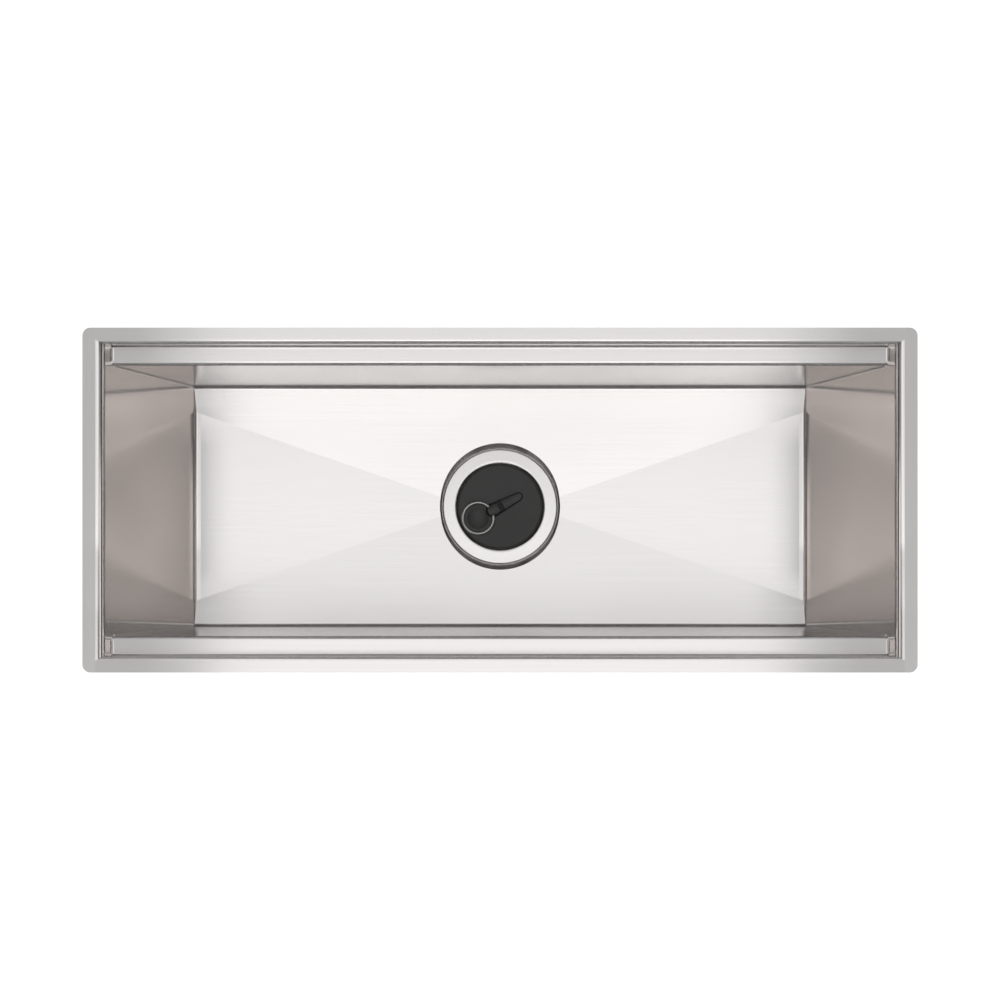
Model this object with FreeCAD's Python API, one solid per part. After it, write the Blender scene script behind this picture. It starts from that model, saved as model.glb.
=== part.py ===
import FreeCAD, Part

# Undermount trough sink in folded stainless sheet, with a drain and a pull-ring stopper.
# Millimetres. +X runs along the trough, +Y to the back, +Z up.
# The origin is the middle of the opening, in the plane of the rim's top face.

import math
import os

Vector = FreeCAD.Vector
UP = Vector(0, 0, 1)

# Plan of the rim
outer_length = 736.0
outer_width = 304.0
rim_corner_radius = 7.0
end_rim_width = 17.2
side_rim_width = 14.0

# Folded sheet
sheet = 1.5
fold_inside_radius = 2.0
end_fold_inside_radius = 6.0
floor_bend_radius = 4.0
ledge_depth = 16.0
ledge_width = 17.0
bowl_depth = 170.0
end_lean_degrees = 14.0
end_foot = 6.0
side_foot = 50.0

# Creased floor, which falls to the drain
floor_fall = 7.0
crease_slope = 0.346
crease_start = 32.0

# Rounded upright corners of the bowl
corner_radius = 2.0

# Sound pads glued to the dry side
pad_thickness = 4.0
pad_corner_radius = 12.0
floor_pad_margin = 22.0
floor_pad_drain_gap = 14.0
wall_pad_height = 92.0
wall_pad_drop = 30.0
side_pad_length = 500.0
end_pad_width = 180.0

# Drain recess pressed in the floor
recess_depth = 3.2
recess_radius = 60.3
seat_radius = 57.1
drain_hole_radius = 45.0

# Drain body
body_wall = 1.5
throat_radius = 42.0
flange_radius = 56.7
flange_slope = -0.06
throat_roll_radius = 4.5
body_bottom_bend = 5.0
body_height = 41.0
seal_inner_gap = 1.3
seal_edge_gap = 1.5

# Sealing stack and nut under the floor
gasket_thickness = 3.0
gasket_width = 12.0
friction_washer_thickness = 1.0
friction_washer_width = 11.6
gasket_clearance = 0.5
lock_nut_height = 9.0
lock_nut_wall = 8.0
lock_nut_lug_count = 6
lock_nut_lug_length = 6.0
lock_nut_lug_width = 14.0
thread_clearance = 0.15

# Strainer grid over the outlet
grid_radius = 31.0
grid_thickness = 1.2
grid_hole_radius = 3.4
grid_ring_pitch = 9.4

# Outlet and tailpiece
outlet_radius = 20.0
outlet_wall = 3.8
outlet_length = 19.0
outlet_flange_radius = 32.0
outlet_flange_thickness = 1.5
tail_outer_radius = 19.05
tail_wall = 1.2
tail_flange_thickness = 1.5
tail_washer_thickness = 2.0
tail_free_length = 56.0
tail_neck_relief = 0.2
tail_neck_gap = 0.6
coupling_flat_to_flat = 58.0
coupling_lip = 2.5
coupling_reach = 15.0
coupling_chamfer = 3.0

# Stopper
cap_radius = 43.0
cap_thickness = 4.0
cap_edge_radius = 2.0
stopper_clearance = 0.3
skirt_depth = 15.0
skirt_wall = 3.0
seal_groove_depth = 2.0
seal_height = 4.0
seal_drop = 4.0
seal_lip_radius = 1.0
lug_angle_degrees = 28.0
lug_nose_radius = 7.2
lug_nose_place = -8.2
lug_tail_radius = 4.6
lug_tail_place = 21.0
lug_height = 9.5
lug_draft = 2.2
lug_flat_length = 13.0
lug_step_length = 6.0
lug_fin_height = 5.8
lug_crown_fall = 3.6
eye_place = -10.2
eye_height = 5.0
eye_radius = 2.6
dish_radius = 11.0
dish_depth = 1.8

# Pull ring
ring_radius = 15.6
ring_wire_radius = 1.4
ring_hang = 14.9

# Sizes worked out from those above
open_half_length = outer_length / 2 - end_rim_width
open_half_width = outer_width / 2 - side_rim_width
bowl_half_width = open_half_width - ledge_width
outer_fold_radius = fold_inside_radius + sheet
valley_z = -bowl_depth - floor_fall
side_fall = floor_fall / bowl_half_width
end_fall = side_fall * crease_slope
end_lean = math.tan(math.radians(end_lean_degrees))
end_floor_depth = (-valley_z - end_fall * (open_half_length - crease_start)) / (1 - end_fall * end_lean)
floor_half_length = open_half_length - end_lean * end_floor_depth
seam_x = floor_half_length - end_foot
seam_y = bowl_half_width - side_foot
far = outer_length
ceiling = outer_width

seat_z = valley_z - recess_depth
body_outer_radius = throat_radius + body_wall
seal_inner_radius = drain_hole_radius + sheet
flange_slant = math.hypot(1.0, flange_slope)
flange_under_z = seat_z + seal_inner_gap - flange_slope * seal_inner_radius
flange_top_z = flange_under_z + body_wall * flange_slant
throat_top_z = flange_top_z + flange_slope * throat_radius
body_floor_z = throat_top_z - body_height

gasket_top_z = seat_z - sheet
washer_top_z = gasket_top_z - gasket_thickness
nut_top_z = washer_top_z - friction_washer_thickness

outlet_top_z = body_floor_z - body_wall
outlet_end_z = outlet_top_z - outlet_length
outlet_outer_radius = outlet_radius + outlet_wall
tail_flange_top_z = outlet_end_z - tail_washer_thickness
tail_flange_under_z = tail_flange_top_z - tail_flange_thickness
coupling_end_z = tail_flange_under_z - coupling_lip
tail_end_z = coupling_end_z - tail_free_length

roll_center_radius = throat_radius + throat_roll_radius
roll_center_z = flange_top_z + flange_slope * roll_center_radius - throat_roll_radius * flange_slant
cap_reach = throat_roll_radius + stopper_clearance
cap_under_z = roll_center_z + math.sqrt(cap_reach**2 - (roll_center_radius - cap_radius) ** 2)
cap_top_z = cap_under_z + cap_thickness
skirt_radius = throat_radius - stopper_clearance - seal_lip_radius
skirt_end_z = cap_under_z - skirt_depth
seal_top_z = cap_under_z - seal_drop
lug_angle = math.radians(lug_angle_degrees)
lug_along = Vector(math.cos(lug_angle), math.sin(lug_angle), 0)
lug_across = Vector(-math.sin(lug_angle), math.cos(lug_angle), 0)
eye_center = lug_along * eye_place + UP * (cap_top_z + eye_height)
ring_drop = eye_height - ring_wire_radius - stopper_clearance
ring_tilt = math.asin(ring_drop / (ring_hang + ring_radius))


def in_side_plane(u, z):
    """A point of a cross-section seen along the trough."""
    return Vector(0, u, z)


def in_end_plane(u, z):
    """A point of a cross-section seen across the trough."""
    return Vector(u, 0, z)


def folded_edges(corners, radii, shift, place):
    """Lines and bend arcs of a sheet's section, moved to the right of its way by shift."""
    steps = [(b[0] - a[0], b[1] - a[1]) for a, b in zip(corners, corners[1:])]
    ways = [(u / math.hypot(u, z), z / math.hypot(u, z)) for u, z in steps]
    first = (corners[0][0] + shift * ways[0][1], corners[0][1] - shift * ways[0][0])
    last = (corners[-1][0] + shift * ways[-1][1], corners[-1][1] - shift * ways[-1][0])
    edges = []
    start = first
    for corner, radius, way, turn in zip(corners[1:-1], radii, ways, ways[1:]):
        spread = shift / (1 + way[0] * turn[0] + way[1] * turn[1])
        u = corner[0] + spread * (way[1] + turn[1])
        z = corner[1] - spread * (way[0] + turn[0])
        side = math.copysign(1.0, way[0] * turn[1] - way[1] * turn[0])
        bend = radius + side * shift if radius else 0.0
        if bend:
            half_turn = math.acos(way[0] * turn[0] + way[1] * turn[1]) / 2
            tangent = bend * math.tan(half_turn)
            enter = (u - way[0] * tangent, z - way[1] * tangent)
            leave = (u + turn[0] * tangent, z + turn[1] * tangent)
            center = (enter[0] - side * way[1] * bend, enter[1] + side * way[0] * bend)
            reach = bend / math.hypot(u - center[0], z - center[1])
            middle = (center[0] + (u - center[0]) * reach, center[1] + (z - center[1]) * reach)
            edges.append(Part.LineSegment(place(*start), place(*enter)).toShape())
            edges.append(Part.Arc(place(*enter), place(*middle), place(*leave)).toShape())
            start = leave
        else:
            edges.append(Part.LineSegment(place(*start), place(u, z)).toShape())
            start = (u, z)
    edges.append(Part.LineSegment(place(*start), place(*last)).toShape())
    return edges, first, last


def closed_face(edges, first, last, others, place):
    """The face inside a section and the straight lines that close it."""
    corners = [last, *others, first]
    lines = [Part.LineSegment(place(*a), place(*b)).toShape() for a, b in zip(corners, corners[1:])]
    return Part.Face(Part.Wire(edges + lines))


def space_over(corners, radii, shift, place, sweep):
    """All the space above a folded section, swept along the trough or across it."""
    edges, first, last = folded_edges(corners, radii, shift, place)
    face = closed_face(edges, first, last, [(last[0], ceiling), (first[0], ceiling)], place)
    face.translate(sweep * -0.5)
    return face.extrude(sweep)


def side_space(shift):
    """Space over the long section: rim, ledge, wall and floor on both sides."""
    half = [
        (far, 0),
        (open_half_width, 0),
        (open_half_width, -ledge_depth),
        (bowl_half_width, -ledge_depth),
        (bowl_half_width, -bowl_depth),
    ]
    bends = [outer_fold_radius, fold_inside_radius, outer_fold_radius, floor_bend_radius]
    corners = [(-u, z) for u, z in half] + [(0, valley_z)] + half[::-1]
    return space_over(corners, [*bends, 0, *bends[::-1]], shift, in_side_plane, Vector(2 * far, 0, 0))


def end_space(shift):
    """Space over the end section: rim, leaning wall and floor at both ends."""
    valley = valley_z - end_fall * crease_start
    half = [(far, 0), (open_half_length, 0), (floor_half_length, -end_floor_depth)]
    bends = [end_fold_inside_radius + sheet, floor_bend_radius]
    corners = [(-u, z) for u, z in half] + [(0, valley)] + half[::-1]
    return space_over(corners, [*bends, 0, *bends[::-1]], shift, in_end_plane, Vector(0, 2 * far, 0))


def block(low, high):
    """A box between two corners."""
    size = [b - a for a, b in zip(low, high)]
    return Part.makeBox(*size, Vector(*low))


def rounded_block(low, high, radius, axis):
    """A box with its edges along one axis rounded."""
    box = block(low, high)
    upright = [e for e in box.Edges if abs(e.tangentAt(e.FirstParameter).dot(axis)) > 0.99]
    return box.makeFillet(radius, upright)


def ring_block(inner, outer, top, bottom):
    """A round washer between two heights."""
    height = top - bottom
    place = Vector(0, 0, bottom)
    return Part.makeCylinder(outer, height, place).cut(Part.makeCylinder(inner, height, place))


def turned(points):
    """A solid turned about the drain's axis from a section of straight lines."""
    corners = [Vector(r, 0, z) for r, z in points]
    return Part.Face(Part.makePolygon([*corners, corners[0]])).revolve(Vector(), UP, 360)


def corner_space(shift):
    """What a rounded upright corner takes from the bowl, in the corner at +X and +Y."""
    radius = corner_radius + shift
    lean = Vector(end_lean, 0, 1)
    wall_shift = shift * math.hypot(1.0, end_lean)
    low = -bowl_depth - floor_fall - recess_depth
    high = -ledge_depth - outer_fold_radius
    base = Vector(open_half_length + end_lean * low + wall_shift, bowl_half_width + shift, low)
    along = Vector(radius, 0, 0)
    across = Vector(0, radius, 0)
    center = base - along - across
    middle = center + (along + across) * math.sqrt(0.5)
    edges = [
        Part.Arc(base - along, middle, base - across).toShape(),
        Part.LineSegment(base - across, base).toShape(),
        Part.LineSegment(base, base - along).toShape(),
    ]
    return Part.Face(Part.Wire(edges)).extrude(lean * (high - low))


def four_ways(solid):
    """A solid of the +X +Y corner, and its copies in the other three corners."""
    across = solid.mirror(Vector(), Vector(0, 1, 0))
    pair = [solid, across]
    return pair + [s.mirror(Vector(), Vector(1, 0, 0)) for s in pair]


def recess_space(shift):
    """Space of the pressed drain recess, up past the floor."""
    slope = (recess_radius - seat_radius) / recess_depth
    top = (recess_radius + slope * floor_fall, valley_z + floor_fall)
    corners = [(0, seat_z), (seat_radius, seat_z), top]
    edges, first, last = folded_edges(corners, [fold_inside_radius], shift, in_end_plane)
    face = closed_face(edges, first, last, [(0, last[1])], in_end_plane)
    return face.revolve(Vector(), UP, 360)


def sheet_panels():
    """The welded panels of the trough, and the space over their dry side."""
    wet_side = side_space(0)
    dry_side = side_space(sheet)
    wet_end = end_space(0)
    dry_end = end_space(sheet)
    plan = rounded_block(
        (-outer_length / 2, -outer_width / 2, valley_z - ceiling),
        (outer_length / 2, outer_width / 2, ceiling / 2),
        rim_corner_radius,
        UP,
    )
    wet = wet_side.common(wet_end)
    dry = dry_side.common(dry_end)
    for corner in four_ways(corner_space(0)):
        wet = wet.cut(corner)
    for corner in four_ways(corner_space(sheet)):
        dry = dry.cut(corner)
    shell = dry.cut(wet).common(plan)

    above_floor = -bowl_depth + end_foot
    below_floor = valley_z - ceiling
    floor_box = block((-seam_x, -seam_y, below_floor), (seam_x, seam_y, above_floor))
    end_box = block((-far, -seam_y, below_floor), (far, seam_y, above_floor))
    side_box = block((-seam_x, -far, below_floor), (seam_x, far, above_floor))
    walls = shell.cut(floor_box)
    sides = walls.common(wet_end).cut(end_box).fuse(walls.common(side_box))
    ends = walls.cut(sides)
    halves = {
        "back": block((-far, 0, -far), (far, far, far)),
        "front": block((-far, -far, -far), (far, 0, far)),
        "right": block((0, -far, -far), (far, far, far)),
        "left": block((-far, -far, -far), (0, far, far)),
    }
    recess_wet = recess_space(0)
    recess_dry = recess_space(sheet)
    hole = Part.makeCylinder(drain_hole_radius, ceiling, Vector(0, 0, valley_z - ceiling / 2))
    pan = shell.common(floor_box).fuse(recess_dry.cut(wet)).cut(recess_wet).cut(hole)
    panels = {
        "floor_pan": pan.removeSplitter(),
        "back_panel": sides.common(halves["back"]).removeSplitter(),
        "front_panel": sides.common(halves["front"]).removeSplitter(),
        "left_end_panel": ends.common(halves["left"]).removeSplitter(),
        "right_end_panel": ends.common(halves["right"]).removeSplitter(),
    }
    return panels, dry


def sound_pads(dry):
    """Rubber pads that lie on the dry side of the floor and the walls."""

    def pad(step, footprint):
        moved = dry.copy()
        moved.translate(step)
        return moved.cut(dry).common(footprint)

    low = valley_z - ceiling / 2
    inner_x = recess_radius + floor_pad_drain_gap
    outer_x = floor_half_length - floor_pad_margin
    half_y = bowl_half_width - floor_pad_margin
    wall_top = -ledge_depth - wall_pad_drop
    wall_low = wall_top - wall_pad_height
    pads = {}
    for name, sign in (("left", -1), ("right", 1)):
        near, distant = sorted((sign * inner_x, sign * outer_x))
        outline = rounded_block(
            (near, -half_y, low),
            (distant, half_y, -bowl_depth),
            pad_corner_radius,
            UP,
        )
        pads[f"floor_pad_{name}"] = pad(UP * -pad_thickness, outline)
        near, distant = sorted((0, sign * far))
        outline = rounded_block(
            (near, -end_pad_width / 2, wall_low),
            (distant, end_pad_width / 2, wall_top),
            pad_corner_radius,
            Vector(1, 0, 0),
        )
        pads[f"{name}_end_pad"] = pad(Vector(sign * pad_thickness, 0, 0), outline)
    for name, sign in (("front", -1), ("back", 1)):
        near, distant = sorted((0, sign * far))
        outline = rounded_block(
            (-side_pad_length / 2, near, wall_low),
            (side_pad_length / 2, distant, wall_top),
            pad_corner_radius,
            Vector(0, 1, 0),
        )
        pads[f"{name}_pad"] = pad(Vector(0, sign * pad_thickness, 0), outline)
    return pads


def drain_body():
    """Pressed strainer body: sloping flange, rolled throat and flat bottom round the outlet."""
    edge_z = flange_top_z + flange_slope * flange_radius
    corners = [
        (outlet_radius, body_floor_z),
        (throat_radius, body_floor_z),
        (throat_radius, throat_top_z),
        (flange_radius, edge_z),
    ]
    radii = [body_bottom_bend, throat_roll_radius]
    wet, wet_first, wet_last = folded_edges(corners, radii, 0, in_end_plane)
    dry, dry_first, dry_last = folded_edges(corners, radii, body_wall, in_end_plane)
    rim_middle = Vector(
        (wet_last[0] + dry_last[0]) / 2 + body_wall / 2 / flange_slant,
        0,
        (wet_last[1] + dry_last[1]) / 2 + body_wall / 2 * flange_slope / flange_slant,
    )
    rim = Part.Arc(in_end_plane(*wet_last), rim_middle, in_end_plane(*dry_last)).toShape()
    mouth = Part.LineSegment(in_end_plane(*dry_first), in_end_plane(*wet_first)).toShape()
    return Part.Face(Part.Wire(Part.__sortEdges__([*wet, rim, *dry, mouth]))).revolve(Vector(), UP, 360)


def flange_seal():
    """Soft wedge ring that fills the gap between the sloping flange and its seat."""
    outer = flange_radius - seal_edge_gap
    return turned(
        [
            (seal_inner_radius, seat_z),
            (outer, seat_z),
            (outer, flange_under_z + flange_slope * outer),
            (seal_inner_radius, flange_under_z + flange_slope * seal_inner_radius),
        ]
    )


def lock_nut():
    """Ring nut on the drain body's thread, with lugs for a spanner."""
    inner = body_outer_radius + thread_clearance
    outer = inner + lock_nut_wall
    bottom = nut_top_z - lock_nut_height
    nut = ring_block(inner, outer, nut_top_z, bottom)
    lug = block(
        (outer - lock_nut_wall / 2, -lock_nut_lug_width / 2, bottom),
        (outer + lock_nut_lug_length, lock_nut_lug_width / 2, nut_top_z),
    )
    for index in range(lock_nut_lug_count):
        turn = lug.copy()
        turn.rotate(Vector(), UP, 360.0 * index / lock_nut_lug_count)
        nut = nut.fuse(turn)
    return nut.removeSplitter()


def strainer_grid():
    """Flat grid on the drain's bottom, with rings of round holes over the outlet."""
    grid = Part.makeCylinder(grid_radius, grid_thickness, Vector(0, 0, body_floor_z))
    rings = int((outlet_radius - grid_hole_radius) / grid_ring_pitch) + 1
    for ring in range(rings):
        count = max(1, 6 * ring)
        for index in range(count):
            angle = 2 * math.pi * index / count
            place = Vector(math.cos(angle), math.sin(angle), 0) * (ring * grid_ring_pitch)
            place.z = body_floor_z
            grid = grid.cut(Part.makeCylinder(grid_hole_radius, grid_thickness, place))
    return grid


def outlet_spigot():
    """Threaded outlet brazed under the drain body."""
    flange_end = outlet_top_z - outlet_flange_thickness
    return turned(
        [
            (outlet_radius, outlet_top_z),
            (outlet_flange_radius, outlet_top_z),
            (outlet_flange_radius, flange_end),
            (outlet_outer_radius, flange_end),
            (outlet_outer_radius, outlet_end_z),
            (outlet_radius, outlet_end_z),
        ]
    )


def tailpiece():
    """Flanged tube that hangs in the coupling nut by a slightly waisted neck."""
    inner = tail_outer_radius - tail_wall
    flange = outlet_outer_radius - thread_clearance
    neck = tail_outer_radius - tail_neck_relief
    neck_end = coupling_end_z - tail_neck_gap
    return turned(
        [
            (inner, tail_flange_top_z),
            (flange, tail_flange_top_z),
            (flange, tail_flange_under_z),
            (neck, tail_flange_under_z),
            (neck, neck_end),
            (tail_outer_radius, neck_end),
            (tail_outer_radius, tail_end_z),
            (inner, tail_end_z),
        ]
    )


def coupling_nut():
    """Hexagon nut that clamps the tailpiece to the outlet."""
    top = outlet_end_z + coupling_reach
    corner = coupling_flat_to_flat / math.sqrt(3)
    angles = [math.radians(60 * k) for k in range(7)]
    points = [Vector(corner * math.cos(a), corner * math.sin(a), coupling_end_z) for a in angles]
    nut = Part.Face(Part.makePolygon(points)).extrude(UP * (top - coupling_end_z))
    edge = coupling_flat_to_flat / 2
    turned_outside = turned(
        [
            (0, coupling_end_z),
            (edge, coupling_end_z),
            (edge + coupling_chamfer, coupling_end_z + coupling_chamfer),
            (edge + coupling_chamfer, top - coupling_chamfer),
            (edge, top),
            (0, top),
        ]
    )
    thread = outlet_outer_radius + thread_clearance
    nut = nut.common(turned_outside)
    nut = nut.cut(Part.makeCylinder(thread, top - tail_flange_under_z, Vector(0, 0, tail_flange_under_z)))
    lip = tail_outer_radius + thread_clearance
    return nut.cut(Part.makeCylinder(lip, top - coupling_end_z, Vector(0, 0, coupling_end_z)))


def lug_point(along, across, z):
    """A point on the stopper, counted along and across its lug."""
    point = lug_along * along + lug_across * across
    return Vector(point.x, point.y, z)


def lug_outline(z):
    """Outline of the lug at a height: two round ends of unlike size, drawn in by the draft."""
    drawn_in = lug_draft * (z - cap_top_z) / lug_height
    lean = math.asin((lug_nose_radius - lug_tail_radius) / (lug_tail_place - lug_nose_place))
    edges = []
    ends = []
    for place, base_radius, way in ((lug_nose_place, lug_nose_radius, -1), (lug_tail_place, lug_tail_radius, 1)):
        radius = base_radius - drawn_in
        along = place + radius * math.sin(lean)
        across = radius * math.cos(lean)
        tip = lug_point(place + way * radius, 0, z)
        one = lug_point(along, across, z)
        other = lug_point(along, -across, z)
        edges.append(Part.Arc(one, tip, other).toShape())
        ends.append((one, other))
    edges.append(Part.LineSegment(ends[0][0], ends[1][0]).toShape())
    edges.append(Part.LineSegment(ends[0][1], ends[1][1]).toShape())
    return Part.Wire(Part.__sortEdges__(edges))


def crowned_bar(start, end, top):
    """A bar along the lug between two places, with an arched top."""
    half = lug_nose_radius + lug_draft
    low = cap_top_z - cap_thickness / 2
    edge = top - lug_crown_fall
    section = [(-half, low), (-half, edge), (half, edge), (half, low)]
    corners = [lug_point(start, across, z) for across, z in section]
    edges = [
        Part.LineSegment(corners[0], corners[1]).toShape(),
        Part.Arc(corners[1], lug_point(start, 0, top), corners[2]).toShape(),
        Part.LineSegment(corners[2], corners[3]).toShape(),
        Part.LineSegment(corners[3], corners[0]).toShape(),
    ]
    return Part.Face(Part.Wire(edges)).extrude(lug_along * (end - start))


def stopper_lug():
    """Tapered grip on the cap: a boss round the ring's eye that steps down to an arched fin."""
    outlines = [lug_outline(cap_top_z - cap_thickness / 2), lug_outline(cap_top_z + lug_height)]
    blank = Part.makeLoft(outlines, True, True)

    boss_top = cap_top_z + lug_height
    fin_top = cap_top_z + lug_fin_height
    nose = lug_nose_place - lug_nose_radius
    step_start = nose + lug_flat_length
    step_end = step_start + lug_step_length
    tail = lug_tail_place + lug_tail_radius
    half = lug_nose_radius * 2
    slope = [
        lug_point(step_start, -half, boss_top),
        lug_point(step_end, -half, fin_top),
        lug_point(step_end, -half, boss_top),
    ]
    slope_cut = Part.Face(Part.makePolygon([*slope, slope[0]])).extrude(lug_across * (2 * half))
    boss = crowned_bar(nose - lug_nose_radius, step_end, boss_top).cut(slope_cut)
    fin = crowned_bar(nose - lug_nose_radius, tail + lug_tail_radius, fin_top)
    return blank.common(boss.fuse(fin))


def stopper_cap():
    """Moulded stopper: round cap with a finger dish, lug and hollow plug."""
    cap = Part.makeCylinder(cap_radius, cap_thickness, Vector(0, 0, cap_under_z))
    top_edge = [e for e in cap.Edges if e.BoundBox.ZMin > cap_under_z + cap_thickness / 2]
    cap = cap.makeFillet(cap_edge_radius, top_edge)
    dish_sphere = (dish_radius**2 + dish_depth**2) / (2 * dish_depth)
    dish_place = lug_point(eye_place - ring_hang, 0, cap_top_z - dish_depth + dish_sphere)
    cap = cap.cut(Part.makeSphere(dish_sphere, dish_place))
    plug = ring_block(skirt_radius - skirt_wall, skirt_radius, cap_under_z, skirt_end_z)
    groove = ring_block(skirt_radius - seal_groove_depth, skirt_radius, seal_top_z, seal_top_z - seal_height)
    eye_start = eye_center - lug_across * (2 * lug_nose_radius)
    eye = Part.makeCylinder(eye_radius, 4 * lug_nose_radius, eye_start, lug_across)
    lug = stopper_lug().cut(eye)
    return cap.fuse(plug).cut(groove).fuse(lug).removeSplitter()


def stopper_seal():
    """Rubber lip ring in the plug's groove, clear of the throat by a hair."""
    lip = skirt_radius + seal_lip_radius
    middle = seal_top_z - seal_height / 2
    corners = [
        in_end_plane(skirt_radius - seal_groove_depth, seal_top_z),
        in_end_plane(skirt_radius, seal_top_z),
        in_end_plane(skirt_radius, seal_top_z - seal_height),
        in_end_plane(skirt_radius - seal_groove_depth, seal_top_z - seal_height),
    ]
    edges = [
        Part.LineSegment(corners[0], corners[1]).toShape(),
        Part.Arc(corners[1], in_end_plane(lip, middle), corners[2]).toShape(),
        Part.LineSegment(corners[2], corners[3]).toShape(),
        Part.LineSegment(corners[3], corners[0]).toShape(),
    ]
    return Part.Face(Part.Wire(edges)).revolve(Vector(), UP, 360)


def pull_ring():
    """Wire ring through the lug's eye, lying back on the cap."""
    hang = lug_along * -math.cos(ring_tilt) - UP * math.sin(ring_tilt)
    upright = lug_across.cross(hang)
    return Part.makeTorus(ring_radius, ring_wire_radius, eye_center + hang * ring_hang, upright)


def all_parts():
    """Every separate piece of the sink by its name."""
    parts, dry = sheet_panels()
    parts.update(sound_pads(dry))
    inner = body_outer_radius + gasket_clearance
    parts["drain_body"] = drain_body()
    parts["flange_seal"] = flange_seal()
    parts["under_gasket"] = ring_block(inner, inner + gasket_width, gasket_top_z, washer_top_z)
    parts["friction_washer"] = ring_block(inner, inner + friction_washer_width, washer_top_z, nut_top_z)
    parts["lock_nut"] = lock_nut()
    parts["strainer_grid"] = strainer_grid()
    parts["outlet_spigot"] = outlet_spigot()
    parts["tailpiece_washer"] = ring_block(
        outlet_radius, outlet_outer_radius, outlet_end_z, tail_flange_top_z
    )
    parts["tailpiece"] = tailpiece()
    parts["coupling_nut"] = coupling_nut()
    parts["stopper_cap"] = stopper_cap()
    parts["stopper_seal"] = stopper_seal()
    parts["pull_ring"] = pull_ring()
    return parts


def main():
    os.makedirs("parts", exist_ok=True)
    for name, shape in all_parts().items():
        shape.exportStep(os.path.join("parts", f"{name}.step"))
        print(f"{name}: {len(shape.Solids)} solid, valid {shape.isValid()}, {shape.Volume / 1000:.2f} cm3")


main()
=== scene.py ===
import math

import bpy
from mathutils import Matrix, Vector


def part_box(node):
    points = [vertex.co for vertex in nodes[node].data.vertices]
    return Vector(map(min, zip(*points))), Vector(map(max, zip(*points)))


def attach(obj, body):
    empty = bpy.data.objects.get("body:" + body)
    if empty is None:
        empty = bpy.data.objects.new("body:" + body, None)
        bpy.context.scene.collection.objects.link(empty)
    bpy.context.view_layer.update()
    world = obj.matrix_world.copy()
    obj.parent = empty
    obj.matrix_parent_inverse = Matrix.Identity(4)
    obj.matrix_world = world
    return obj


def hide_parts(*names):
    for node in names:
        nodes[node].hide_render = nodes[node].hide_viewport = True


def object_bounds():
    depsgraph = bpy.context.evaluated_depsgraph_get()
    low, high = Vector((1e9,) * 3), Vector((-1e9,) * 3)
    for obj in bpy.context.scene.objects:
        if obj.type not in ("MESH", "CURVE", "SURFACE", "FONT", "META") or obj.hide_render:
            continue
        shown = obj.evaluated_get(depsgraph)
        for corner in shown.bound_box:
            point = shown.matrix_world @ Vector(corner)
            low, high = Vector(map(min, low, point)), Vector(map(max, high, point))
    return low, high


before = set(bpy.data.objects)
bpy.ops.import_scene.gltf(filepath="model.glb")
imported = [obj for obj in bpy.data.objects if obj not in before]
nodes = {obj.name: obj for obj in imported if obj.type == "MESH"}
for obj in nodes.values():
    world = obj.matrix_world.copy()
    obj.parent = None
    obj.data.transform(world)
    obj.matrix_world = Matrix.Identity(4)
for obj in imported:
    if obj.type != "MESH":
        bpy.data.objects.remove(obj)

# Dressed view of an undermount trough sink: camera, light, finishes and the fine pieces that
# the solids leave out. Metres. +X runs along the trough, +Y to the back, +Z up, and the
# origin is the middle of the opening in the plane of the rim.

cad_low, cad_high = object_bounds()
scene = bpy.context.scene

# Camera: straight down, a little in front of the middle, with the frame shifted back over it
camera_height = 1.176
camera_forward = 0.044
camera_lens = 48.05
camera_sensor = 36.0
camera_shift = 0.05

# Ceiling: levels by tilt from straight up, in degrees. Over the trough the tilt runs from the
# front (below zero) to the back. Beyond the edge it runs out to the sides, where a warm panel
# hangs that is brighter towards the front. The sky fades to white below the horizon heights.
plain = (1.0, 1.0, 1.0)
warm = (1.0, 0.925, 0.885)
ceiling_over = [
    (-44.0, 0.05), (-36.0, 0.42), (-28.0, 1.45), (-20.0, 2.0), (-12.5, 1.60), (-6.5, 1.12),
    (-2.0, 0.85), (2.0, 0.55), (6.5, 0.42), (12.5, 0.52), (20.0, 1.05), (28.0, 0.98),
    (36.0, 0.44), (45.0, 0.04), (57.5, 0.11),
]
ceiling_edge = (11.6, 13.6)
ceiling_aside = [
    (0.0, 0.56), (16.0, 0.58), (20.0, 0.64), (23.5, 0.62), (25.0, 0.03), (38.5, 0.03),
]
side_panel = (40.0, 52.5)
side_panel_levels = (1.10, 0.20)
side_panel_fade = (2.5, 7.5)
ceiling_foot = (54.5, 0.05)
horizon_heights = (0.56, 0.59)

# Dark flags low around the trough: the way they stand, half their width, and their lower and
# upper tilt above the horizon, all in degrees, and their grey
flag_distance = 6.0
flag_steps = 8
flags = {
    "flag_front": (-90.0, 34.0, (9.0, 36.5), 0.05),
    "flag_back": (90.0, 34.0, (9.0, 36.5), 0.16),
    "flag_left": (180.0, 34.0, (9.0, 35.5), 0.05),
    "flag_right": (0.0, 34.0, (9.0, 35.5), 0.05),
}

# Lamps: stacked softboxes with their front edge, back edge, length and level, and a wide fill
softbox_height = 1.2
softbox_spacing = 0.01
softboxes = {
    "softbox_wide": (-0.15, 0.35, 1.25, 0.14),
    "softbox_long": (-0.04, 0.35, 1.18, 0.15),
    "softbox_core": (-0.04, 0.35, 1.08, 0.15),
}
watts_per_area = 4.0
fill_height = 2.5
fill_size = 4.0
fill_level = 0.45

# Floor, just under the tailpiece
floor_gap = 0.0005
floor_reach = 8.0
floor_glow = 0.86
floor_albedo = 0.3

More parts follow.
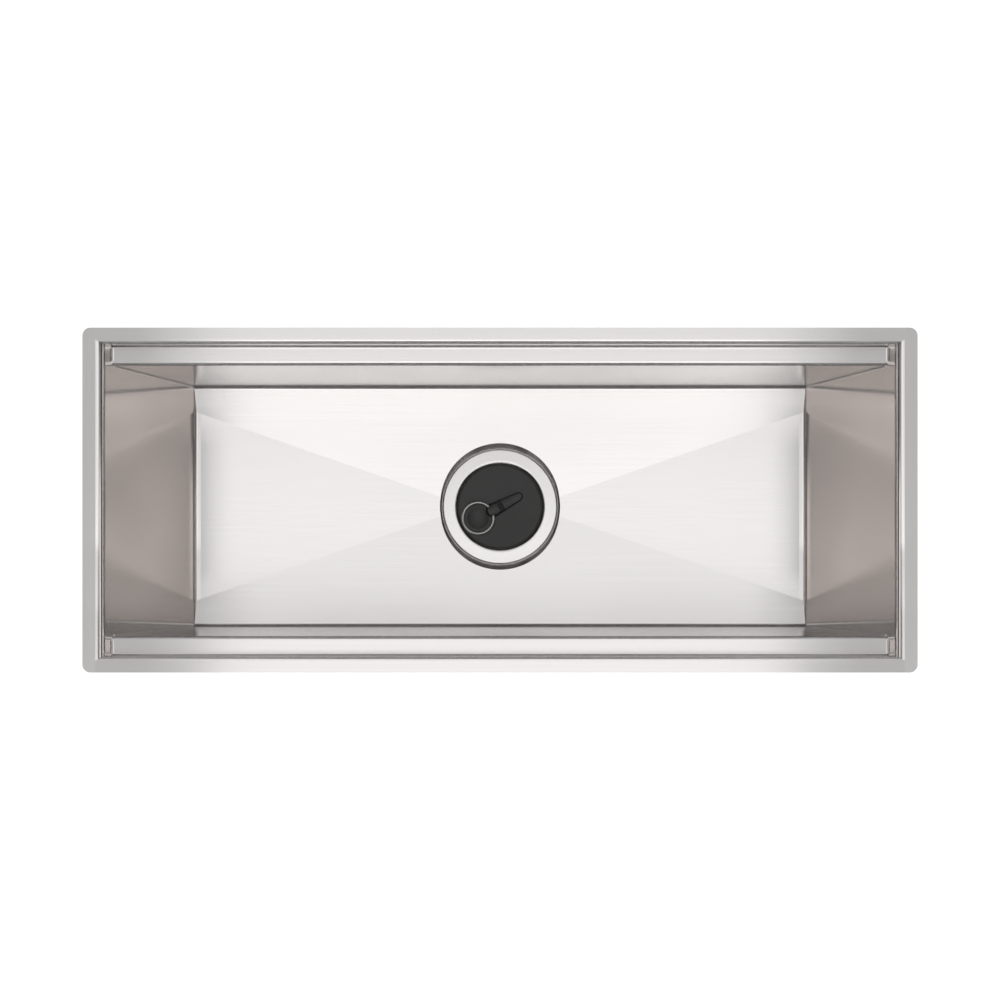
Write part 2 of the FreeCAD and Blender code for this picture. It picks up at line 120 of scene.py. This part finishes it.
# Steel: finishes, the streaks of the brushing, and the rings of the turned strainer
along_trough = (1.0, 0.0, 0.0)
across_trough = (0.0, 1.0, 0.0)
steel_color = (0.775, 0.757, 0.745)
steel_roughness = 0.185
steel_spread = 1.0
end_roughness = 0.12
flange_color = (0.735, 0.72, 0.71)
flange_roughness = 0.215
strainer_roughness = 0.25
streak_length = 5.0
streak_fineness = 900.0
streak_detail = 3.0
streak_tones = (0.985, 1.015)
streak_bump = 0.03
streak_depth = 0.0002
cloud_scale = 7.0
cloud_wear = 0.015
ring_tones = (0.96, 1.03)
ring_bump = 0.06
ring_cloud_scale = 40.0
ring_cloud_wear = 0.02
quarter_turn = 0.25

# Slack in the floor's sheet near the ends: where it starts along the trough, its bend, and
# the heights and widths over which it fades out
slack_from = 0.264
slack_bend = -0.33
slack_heights = (-0.166, -0.162)
slack_widths = (0.062, 0.105)

# Moulded pieces: finish, colour, roughness, and the fineness and depth of the stipple
moulded_looks = {
    "flange_seal": ("soft_seal", (0.05, 0.05, 0.05), 0.6, 900.0, 0.0001),
    "friction_washer": ("fibre_card", (0.46, 0.36, 0.25), 0.8, 700.0, 0.0002),
    "tailpiece_washer": ("white_nylon", (0.8, 0.8, 0.78), 0.5, 500.0, 0.0001),
    "stopper_cap": ("black_rubber", (0.016, 0.0155, 0.015), 0.42, 900.0, 0.0001),
    "stopper_seal": ("lip_rubber", (0.012, 0.012, 0.012), 0.55, 900.0, 0.0001),
}
pad_look = ("pad_rubber", (0.1, 0.1, 0.105), 0.75, 350.0, 0.0003)
stipple_detail = 3.0
stipple_bump = 0.25
stipple_wear = 0.06
blotch_size = 40.0
blotch_tones = (0.85, 1.15)

# Plated and cast pieces: finish, colour and roughness
plated_looks = {
    "lock_nut": ("cast_metal", (0.58, 0.59, 0.60), 0.45),
    "outlet_spigot": ("turned_brass", (0.78, 0.58, 0.28), 0.25),
    "tailpiece": ("chrome_plate", (0.8, 0.81, 0.82), 0.08),
    "pull_ring": ("steel_wire", (0.44, 0.44, 0.43), 0.26),
}
wiping_scale = 60.0
wiping_detail = 4.0
wiping_tones = (0.94, 1.0)
wiping_wear = (0.8, 1.3)

# Range that most of a noise texture's values lie in
noise_span = (0.3, 0.7)

# Sound pads, with the way each one faces: a soft rim, and grooves between raised squares
side_pads = {"front_pad": -1.0, "back_pad": 1.0}
end_pads = {"left_end_pad": -1.0, "right_end_pad": 1.0}
floor_pads = ("floor_pad_left", "floor_pad_right")
pad_thickness = 0.004
pad_corner = 0.012
pad_corner_steps = 6
pad_round = 0.0012
pad_round_steps = 3
pad_square = 0.0125
pad_groove = 0.0022
pad_groove_depth = 0.001

# Inside of the trough's floor, which the pads under it follow
floor_valley = -0.177
side_fall = 0.05785
end_fall = 0.02002
crease_start = 0.032
sheet = 0.0015

# Threads. The section's widths are shares of the pitch, and the ends fade over a third of a turn.
thread_segments = 96
thread_sink = 0.0002
thread_sunk_width = 0.45
thread_foot_width = 0.42
thread_crest_width = 0.12
thread_fade_rate = 3.0
thread_fade_least = 0.05
drain_thread = {
    "radius": 0.0435, "top": -0.1950, "bottom": -0.2110, "pitch": 0.0021, "height": 0.00075,
}
outlet_thread = {
    "radius": 0.0238, "top": -0.2215, "bottom": -0.2237, "pitch": 0.0014, "height": 0.0005,
}

# Weld beads at the four ledge ends
end_lean = math.radians(14.0)
bead_radius = 0.0025
bead_corner = (0.3468, -0.016)
bead_span = (0.1250, 0.1365)
bead_sink = 0.0004
bead_steps = 10
bead_edge = math.radians(40.0)


def tinted(color, share):
    return tuple(channel * share for channel in color)


class Graph:
    """A node tree, with short ways to add and join nodes."""

    def __init__(self, tree):
        self.tree = tree

    def put(self, socket, value):
        if isinstance(value, bpy.types.NodeSocket):
            self.tree.links.new(value, socket)
        elif socket.type == "RGBA":
            socket.default_value = (*value, 1.0)
        else:
            socket.default_value = value

    def add(self, kind, inputs=None, **settings):
        node = self.tree.nodes.new(kind)
        for key, value in settings.items():
            setattr(node, key, value)
        for key, value in (inputs or {}).items():
            self.put(node.inputs[key], value)
        return node

    def figure(self, operation, first, second=0.0):
        return self.add("ShaderNodeMath", {0: first, 1: second}, operation=operation).outputs[0]

    def between(self, value, low, high, span=noise_span):
        """A value that runs from low to high while another one crosses its span."""
        inputs = {"Value": value, "From Min": span[0], "From Max": span[1]}
        inputs.update({"To Min": low, "To Max": high})
        return self.add("ShaderNodeMapRange", inputs).outputs["Result"]

    def mixed(self, share, first, second):
        inputs = {"Factor": share, "A": first, "B": second}
        return self.add("ShaderNodeMix", inputs, data_type="RGBA").outputs["Result"]

    def crossed(self, angle, span, kind="SMOOTHSTEP"):
        """The share of a span in degrees that an angle has crossed."""
        low, high = (math.radians(edge) for edge in span)
        inputs = {"Value": angle, "From Min": low, "From Max": high}
        return self.add("ShaderNodeMapRange", inputs, interpolation_type=kind).outputs["Result"]

    def ramp(self, angle, span, stops):
        """Colour by angle; each stop has an angle in degrees, a level and a tint."""
        low, high = span
        node = self.add("ShaderNodeValToRGB", {"Fac": self.crossed(angle, span, "LINEAR")})
        points = node.color_ramp.elements
        while len(points) < len(stops):
            points.new(0.5)
        for point, (stop, level, tint) in zip(points, stops):
            point.position = (stop - low) / (high - low)
            point.color = (*tinted(tint, level), 1.0)
        return node.outputs["Color"]


class Shader(Graph):
    """A material's node tree."""

    def __init__(self, name):
        self.material = bpy.data.materials.new(name)
        self.material.use_nodes = True
        super().__init__(self.material.node_tree)
        self.surface = self.tree.nodes["Principled BSDF"]

    def finish(self, **inputs):
        for key, value in inputs.items():
            self.put(self.surface.inputs[key.replace("_", " ")], value)
        return self.material

    def show(self, surface):
        """Shows another surface in place of the principled one."""
        self.tree.nodes.remove(self.surface)
        self.put(self.tree.nodes["Material Output"].inputs["Surface"], surface)
        return self.material

    def place(self):
        return self.add("ShaderNodeTexCoord").outputs["Object"]

    def split(self, vector):
        return self.add("ShaderNodeSeparateXYZ", {0: vector}).outputs

    def scaled(self, vector, scale):
        inputs = {"Vector": vector, "Scale": scale}
        return self.add("ShaderNodeMapping", inputs).outputs["Vector"]

    def noise(self, vector, scale, detail=2.0):
        inputs = {"Vector": vector, "Scale": scale, "Detail": detail}
        return self.add("ShaderNodeTexNoise", inputs).outputs["Fac"]

    def toned(self, value, color, tones):
        """A colour that wavers between two shades with a noise."""
        low, high = (tinted(color, tone) for tone in tones)
        return self.mixed(self.between(value, 0.0, 1.0), low, high)

    def bump(self, height, strength, distance, over=None):
        inputs = {"Height": height, "Strength": strength, "Distance": distance}
        if over is not None:
            inputs["Normal"] = over
        return self.add("ShaderNodeBump", inputs).outputs["Normal"]


def slack_normal(shader, place):
    """The normal of a floor whose sheet flattens out a little towards the trough's ends."""
    x, y, z = shader.split(place)
    beyond = shader.figure("SUBTRACT", shader.figure("ABSOLUTE", x), slack_from)
    beyond = shader.figure("MAXIMUM", beyond)
    rise = shader.figure("MULTIPLY", shader.figure("MULTIPLY", beyond, beyond), slack_bend)
    low = shader.between(z, 1.0, 0.0, slack_heights)
    middle = shader.between(shader.figure("ABSOLUTE", y), 1.0, 0.0, slack_widths)
    rise = shader.figure("MULTIPLY", rise, shader.figure("MULTIPLY", low, middle))
    return shader.bump(rise, 1.0, 1.0)


def brushed_steel(name, color, roughness, way, slack=False):
    """Satin steel brushed along one way: fine streaks, and gloss that spreads across them."""
    shader = Shader(name)
    place = shader.place()
    grain = tuple(streak_length if axis else streak_fineness for axis in way)
    streaks = shader.noise(shader.scaled(place, grain), 1.0, streak_detail)
    clouds = shader.noise(place, cloud_scale)
    facing = shader.add("ShaderNodeNewGeometry").outputs["Normal"]
    across = shader.add("ShaderNodeVectorMath", {0: facing, 1: way}, operation="CROSS_PRODUCT")
    under = slack_normal(shader, place) if slack else None
    return shader.finish(
        Base_Color=shader.toned(streaks, color, streak_tones),
        Metallic=1.0,
        Roughness=shader.between(clouds, roughness - cloud_wear, roughness + cloud_wear),
        Anisotropic=steel_spread,
        Tangent=across.outputs["Vector"],
        Normal=shader.bump(streaks, streak_bump, streak_depth, under),
    )


def turned_steel(name, color, roughness):
    """Satin steel with rings of fine streaks round the drain's axis."""
    shader = Shader(name)
    place = shader.place()
    x, y, z = shader.split(place)
    squares = (shader.figure("MULTIPLY", part, part) for part in (x, y))
    radius = shader.figure("SQRT", shader.figure("ADD", *squares))
    rings = shader.add("ShaderNodeCombineXYZ", {"X": radius, "Y": z}).outputs[0]
    streaks = shader.noise(rings, streak_fineness, streak_detail)
    clouds = shader.noise(place, ring_cloud_scale)
    return shader.finish(
        Base_Color=shader.toned(streaks, color, ring_tones),
        Metallic=1.0,
        Roughness=shader.between(clouds, roughness - ring_cloud_wear, roughness + ring_cloud_wear),
        Anisotropic=steel_spread,
        Anisotropic_Rotation=quarter_turn,
        Tangent=shader.add("ShaderNodeTangent", direction_type="RADIAL", axis="Z").outputs[0],
        Normal=shader.bump(streaks, ring_bump, streak_depth),
    )


def moulded(name, color, roughness, fineness, depth):
    """Matt moulded rubber or plastic with a fine stipple."""
    shader = Shader(name)
    place = shader.place()
    stipple = shader.noise(place, fineness, stipple_detail)
    blotches = shader.noise(place, fineness / blotch_size)
    return shader.finish(
        Base_Color=shader.toned(blotches, color, blotch_tones),
        Roughness=shader.between(stipple, roughness - stipple_wear, roughness + stipple_wear),
        Normal=shader.bump(stipple, stipple_bump, depth),
    )


def plated(name, color, roughness):
    """Metal with faint wiping marks."""
    shader = Shader(name)
    wiped = shader.noise(shader.place(), wiping_scale, wiping_detail)
    return shader.finish(
        Base_Color=shader.toned(wiped, color, wiping_tones),
        Metallic=1.0,
        Roughness=shader.between(wiped, *(roughness * share for share in wiping_wear)),
    )


def dress_nodes():
    """Puts a finish on every solid and returns the finishes by node."""
    along = brushed_steel(
        "steel_brushed_along", steel_color, steel_roughness, along_trough, slack=True
    )
    across = brushed_steel("steel_brushed_across", steel_color, end_roughness, across_trough)
    looks = {
        "floor_pan": along,
        "back_panel": along,
        "front_panel": along,
        "left_end_panel": across,
        "right_end_panel": across,
        "drain_body": brushed_steel("steel_satin", flange_color, flange_roughness, along_trough),
        "strainer_grid": turned_steel("steel_turned", steel_color, strainer_roughness),
    }
    for node, look in moulded_looks.items():
        looks[node] = moulded(*look)
    for node, look in plated_looks.items():
        looks[node] = plated(*look)
    looks["under_gasket"] = looks["flange_seal"]
    looks["coupling_nut"] = looks["tailpiece"]
    pad = moulded(*pad_look)
    for node in (*side_pads, *end_pads, *floor_pads):
        looks[node] = pad
    for node, material in looks.items():
        for slot in nodes[node].material_slots:
            slot.material = material
    return looks


def mesh_object(name, points, faces, material):
    mesh = bpy.data.meshes.new(name)
    mesh.from_pydata(points, [], faces)
    mesh.materials.append(material)
    made = bpy.data.objects.new(name, mesh)
    scene.collection.objects.link(made)
    return made


def mesh_piece(name, points, faces, material, body, slot):
    """A smooth-shaded mesh piece that rides on a body."""
    piece = mesh_object(name, points, faces, material)
    piece.data.polygons.foreach_set("use_smooth", [True] * len(faces))
    piece.data.update()
    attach(piece, body)
    return piece


def grooved_lines(half):
    """Grid lines across a pad's field: each groove's middle and both edges of each square.

    Each line has its place and whether it lies in a groove.
    """
    pitch = pad_square + pad_groove
    count = max(1, int((2 * half - pad_groove) / pitch))
    start = -count * pitch / 2
    lines = []
    for index in range(count):
        left = start + index * pitch + pad_groove / 2
        lines += [(left - pad_groove / 2, True), (left, False), (left + pad_square, False)]
    lines.append((start + count * pitch, True))
    return lines


def pad_rows(half_u, half_v):
    """Rows of a pad's face: place, half width, turn of the edge, and whether in a groove."""
    field = half_v - pad_corner
    rows = [(v, half_u, 0.0, low) for v, low in grooved_lines(field)]
    arc = []
    for step in range(pad_corner_steps + 1):
        turn = math.pi / 2 * step / pad_corner_steps
        v = field + pad_corner * math.sin(turn)
        arc.append((v, half_u - pad_corner * (1 - math.cos(turn)), turn, None))
    below = [(-v, half, -turn, low) for v, half, turn, low in reversed(arc)]
    return below + rows + arc


def pad_piece(node, half_u, half_v, place, material):
    """A moulded pad in a node's room.

    place(u, v, depth) gives the point at a depth out of the panel.
    """
    inner_u = half_u - pad_round
    inner_v = half_v - pad_round
    rows = pad_rows(inner_u, inner_v)
    edge = inner_u - pad_corner
    columns = [(-1.0, None), (-edge / inner_u, None)]
    columns += [(u / inner_u, low) for u, low in grooved_lines(edge)]
    columns += [(edge / inner_u, None), (1.0, None)]
    width = len(columns)
    height = len(rows)
    points = []
    faces = []

    def face_points(depth, grooved):
        """The grid of one face, and the index of its first point."""
        first = len(points)
        for v, half, _, row_low in rows:
            for share, column_low in columns:
                inside = row_low is not None and column_low is not None
                low = grooved and inside and (row_low or column_low)
                sunk = pad_groove_depth if low else 0.0
                points.append(place(share * half, v, depth - sunk))
        return first

    def loop_points(grown, depth):
        """The outline, grown outwards, at one depth."""
        first = len(points)
        bottom, *sides, top = rows
        for share, _ in columns:
            points.append(place(share * bottom[1], bottom[0] - grown, depth))
        for v, half, turn, _ in sides:
            out = half + grown * math.cos(turn)
            points.append(place(out, v + grown * math.sin(turn), depth))
        for share, _ in reversed(columns):
            points.append(place(share * top[1], top[0] + grown, depth))
        for v, half, turn, _ in reversed(sides):
            out = half + grown * math.cos(turn)
            points.append(place(-out, v + grown * math.sin(turn), depth))
        return list(range(first, len(points)))

    def outline(first):
        """The boundary of a face's grid, in the order of loop_points."""
        ring = [first + column for column in range(width)]
        ring += [first + row * width + width - 1 for row in range(1, height - 1)]
        ring += [first + (height - 1) * width + column for column in reversed(range(width))]
        ring += [first + row * width for row in reversed(range(1, height - 1))]
        return ring

    front = face_points(pad_thickness, True)
    rings = [outline(front)]
    for step in range(1, pad_round_steps + 1):
        turn = math.pi / 2 * step / pad_round_steps
        depth = pad_thickness - pad_round * (1 - math.cos(turn))
        rings.append(loop_points(pad_round * math.sin(turn), depth))
    rings.append(loop_points(pad_round, 0.0))
    back = face_points(0.0, False)
    rings.append(outline(back))
    for row in range(height - 1):
        for column in range(width - 1):
            a = front + row * width + column
            faces.append((a, a + 1, a + width + 1, a + width))
            b = back + row * width + column
            faces.append((b, b + width, b + width + 1, b + 1))
    for ring, other in zip(rings, rings[1:]):
        for index in range(len(ring)):
            after = (index + 1) % len(ring)
            faces.append((ring[index], other[index], other[after], ring[after]))
    piece = mesh_piece("moulded_" + node, points, faces, material, "basin", "pad_rubber")
    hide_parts(node)


def add_pads(material):
    """The six sound pads, each laid on the dry side of its panel."""
    for node, way in side_pads.items():
        low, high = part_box(node)
        wall = high.y - pad_thickness if way > 0 else low.y + pad_thickness
        middle = (low.z + high.z) / 2

        def on_side(u, v, depth, way=way, wall=wall, middle=middle):
            return (-way * u, wall + way * depth, middle + v)

        pad_piece(node, (high.x - low.x) / 2, (high.z - low.z) / 2, on_side, material)
    for node, way in end_pads.items():
        low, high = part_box(node)
        lean = (high.x - low.x - pad_thickness) / (high.z - low.z)
        foot = (low.x if way > 0 else high.x) + way * lean * (high.z - low.z) / 2
        middle = (low.z + high.z) / 2

        def on_end(u, v, depth, way=way, lean=lean, foot=foot, middle=middle):
            return (foot + way * (lean * v + depth), way * u, middle + v)

        pad_piece(node, (high.y - low.y) / 2, (high.z - low.z) / 2, on_end, material)
    for node in floor_pads:
        low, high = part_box(node)
        center = (low.x + high.x) / 2

        def under_floor(u, v, depth, center=center):
            x = center + u
            side = floor_valley + side_fall * abs(v)
            end = floor_valley + end_fall * (abs(x) - crease_start)
            return (x, -v, max(side, end) - sheet - depth)

        pad_piece(node, (high.x - low.x) / 2, (high.y - low.y) / 2, under_floor, material)


def closed_tube(count, sections):
    """Faces of a closed tube over points laid section by section."""
    last = (sections - 1) * count
    faces = []
    for first in range(0, last, count):
        for index in range(count):
            a = first + index
            b = first + (index + 1) % count
            faces.append((a, b, b + count, a + count))
    faces.append(tuple(reversed(range(count))))
    faces.append(tuple(range(last, last + count)))
    return faces


def add_thread(name, material, slot, radius, top, bottom, pitch, height):
    """One helical ridge round the drain's axis, which fades out at both ends."""
    steps = int((top - bottom) / pitch * thread_segments)
    rising = [
        (-thread_sink, thread_sunk_width), (0.0, thread_foot_width), (height, thread_crest_width),
    ]
    section = rising + [(out, -along) for out, along in reversed(rising)]
    points = []
    for step in range(steps + 1):
        angle = 2 * math.pi * step / thread_segments
        z = top - (top - bottom) * step / steps
        turns_left = min(step, steps - step) / thread_segments
        fade = min(1.0, thread_fade_rate * turns_left + thread_fade_least)
        for out, along in section:
            r = radius + (out * fade if out > 0 else out)
            up = along * pitch * fade
            points.append((r * math.cos(angle), -r * math.sin(angle), z + up))
    faces = closed_tube(len(section), steps + 1)
    mesh_piece(name, points, faces, material, "basin", slot)


def add_bead(name, material, x_way, y_way):
    """A small hollow weld bead in the corner between a ledge's end and the end wall."""
    corner_x, corner_z = bead_corner
    half = (math.pi / 2 + end_lean) / 2
    reach = bead_radius / math.tan(half)
    section = [(bead_sink, -bead_sink)]
    for step in range(bead_steps + 1):
        turn = (math.pi - 2 * half) * step / bead_steps
        out = bead_radius * math.sin(turn) - reach
        section.append((out, bead_radius * (1 - math.cos(turn))))
    points = []
    for y in bead_span:
        points += [(x_way * (corner_x + out), y_way * y, corner_z + up) for out, up in section]
    faces = closed_tube(len(section), len(bead_span))
    if x_way * y_way < 0:
        faces = [tuple(reversed(face)) for face in faces]
    piece = mesh_piece(name, points, faces, material, "basin", "sink_steel")
    piece.data.set_sharp_from_angle(angle=bead_edge)


def add_beads(material):
    for x_name, x_way in (("left", -1.0), ("right", 1.0)):
        for y_name, y_way in (("front", -1.0), ("back", 1.0)):
            add_bead("bead_%s_%s" % (x_name, y_name), material, x_way, y_way)


def add_camera():
    data = bpy.data.cameras.new("camera")
    data.sensor_width = camera_sensor
    data.lens = camera_lens
    data.shift_y = camera_shift
    camera = bpy.data.objects.new("camera", data)
    camera.location = (0.0, -camera_forward, camera_height)
    scene.collection.objects.link(camera)
    scene.camera = camera


def add_lamp(name, place, length, width, level):
    """A level lamp that shines straight down with a given brightness."""
    data = bpy.data.lights.new(name, "AREA")
    data.shape = "RECTANGLE"
    data.size = length
    data.size_y = width
    data.energy = watts_per_area * level * length * width
    lamp = bpy.data.objects.new(name, data)
    lamp.location = place
    lamp.visible_camera = False
    scene.collection.objects.link(lamp)
    return lamp


def add_lamps():
    """Three stacked softboxes over the trough, and a wide fill that only matt surfaces take."""
    for index, (name, (near, far, length, level)) in enumerate(softboxes.items()):
        place = (0.0, (near + far) / 2, softbox_height + softbox_spacing * index)
        add_lamp(name, place, length, far - near, level)
    fill = add_lamp("fill", (0.0, 0.0, fill_height), fill_size, fill_size, fill_level)
    fill.visible_glossy = False


def add_sky():
    """A soft ceiling over the trough, a warm panel at each side and a white low sky."""
    world = bpy.data.worlds.new("studio")
    world.use_nodes = True
    scene.world = world
    sky = Graph(world.node_tree)
    way = sky.add("ShaderNodeTexCoord").outputs["Generated"]
    x, y, z = sky.add("ShaderNodeSeparateXYZ", {0: way}).outputs
    aside = sky.figure("ARCTAN2", sky.figure("ABSOLUTE", x), z)
    forward = sky.figure("ARCTAN2", y, z)
    over = sky.ramp(forward, (-90.0, 90.0), [(*stop, plain) for stop in ceiling_over])
    ends = []
    for level in side_panel_levels:
        stops = [(*stop, plain) for stop in ceiling_aside]
        stops += [(angle, level, warm) for angle in side_panel]
        stops.append((*ceiling_foot, plain))
        ends.append(sky.ramp(aside, (0.0, 90.0), stops))
    beside = sky.mixed(sky.crossed(forward, side_panel_fade), *ends)
    ceiling = sky.mixed(sky.crossed(aside, ceiling_edge), over, beside)
    low = sky.between(z, 1.0, 0.0, horizon_heights)
    color = sky.mixed(low, ceiling, plain)
    sky.put(sky.tree.nodes["Background"].inputs["Color"], color)


def add_flags():
    """Dark cards that only metal and glass show, as a studio stands them out of the picture."""
    for name, (way, half, tilts, grey) in flags.items():
        shader = Shader(name)
        inputs = {"Color": (grey, grey, grey), "Strength": 1.0}
        material = shader.show(shader.add("ShaderNodeEmission", inputs).outputs[0])
        heights = [flag_distance * math.tan(math.radians(tilt)) for tilt in tilts]
        corners = []
        for step in range(flag_steps + 1):
            turn = math.radians(way + half * (2.0 * step / flag_steps - 1.0))
            foot = (flag_distance * math.cos(turn), flag_distance * math.sin(turn))
            corners += [(*foot, height) for height in heights]
        faces = [(k, k + 2, k + 3, k + 1) for k in range(0, 2 * flag_steps, 2)]
        flag = mesh_object(name, corners, faces, material)
        flag.visible_camera = flag.visible_diffuse = flag.visible_shadow = False


def floor_material():
    """White to the eye and in metal, darkened by the shadow on it, and clear from below."""
    shader = Shader("pale_floor")
    paths = shader.add("ShaderNodeLightPath").outputs
    seen = paths["Is Camera Ray"]
    for other in ("Is Glossy Ray", "Is Transmission Ray"):
        seen = shader.figure("MAXIMUM", seen, paths[other])
    glow = shader.figure("MULTIPLY", seen, floor_glow)
    light = shader.add("ShaderNodeEmission", {"Color": plain, "Strength": glow}).outputs[0]
    paint = shader.add("ShaderNodeBsdfDiffuse", {"Color": (floor_albedo,) * 3}).outputs[0]
    both = shader.add("ShaderNodeAddShader", {0: light, 1: paint}).outputs[0]
    clear = shader.add("ShaderNodeBsdfTransparent").outputs[0]
    below = shader.add("ShaderNodeNewGeometry").outputs["Backfacing"]
    inputs = {"Fac": below, 1: both, 2: clear}
    return shader.show(shader.add("ShaderNodeMixShader", inputs).outputs[0])


def add_floor():
    r = floor_reach
    z = cad_low.z - floor_gap
    corners = [(-r, -r, z), (r, -r, z), (r, r, z), (-r, r, z)]
    floor = mesh_object("floor", corners, [(0, 1, 2, 3)], floor_material())


scene.view_settings.view_transform = "Standard"
looks = dress_nodes()
add_pads(looks["front_pad"])
add_thread("drain_thread", looks["drain_body"], "drain_steel", **drain_thread)
add_thread("outlet_thread", looks["outlet_spigot"], "brass_spigot", **outlet_thread)
add_beads(looks["left_end_panel"])
add_camera()
add_lamps()
add_sky()
add_flags()
add_floor()
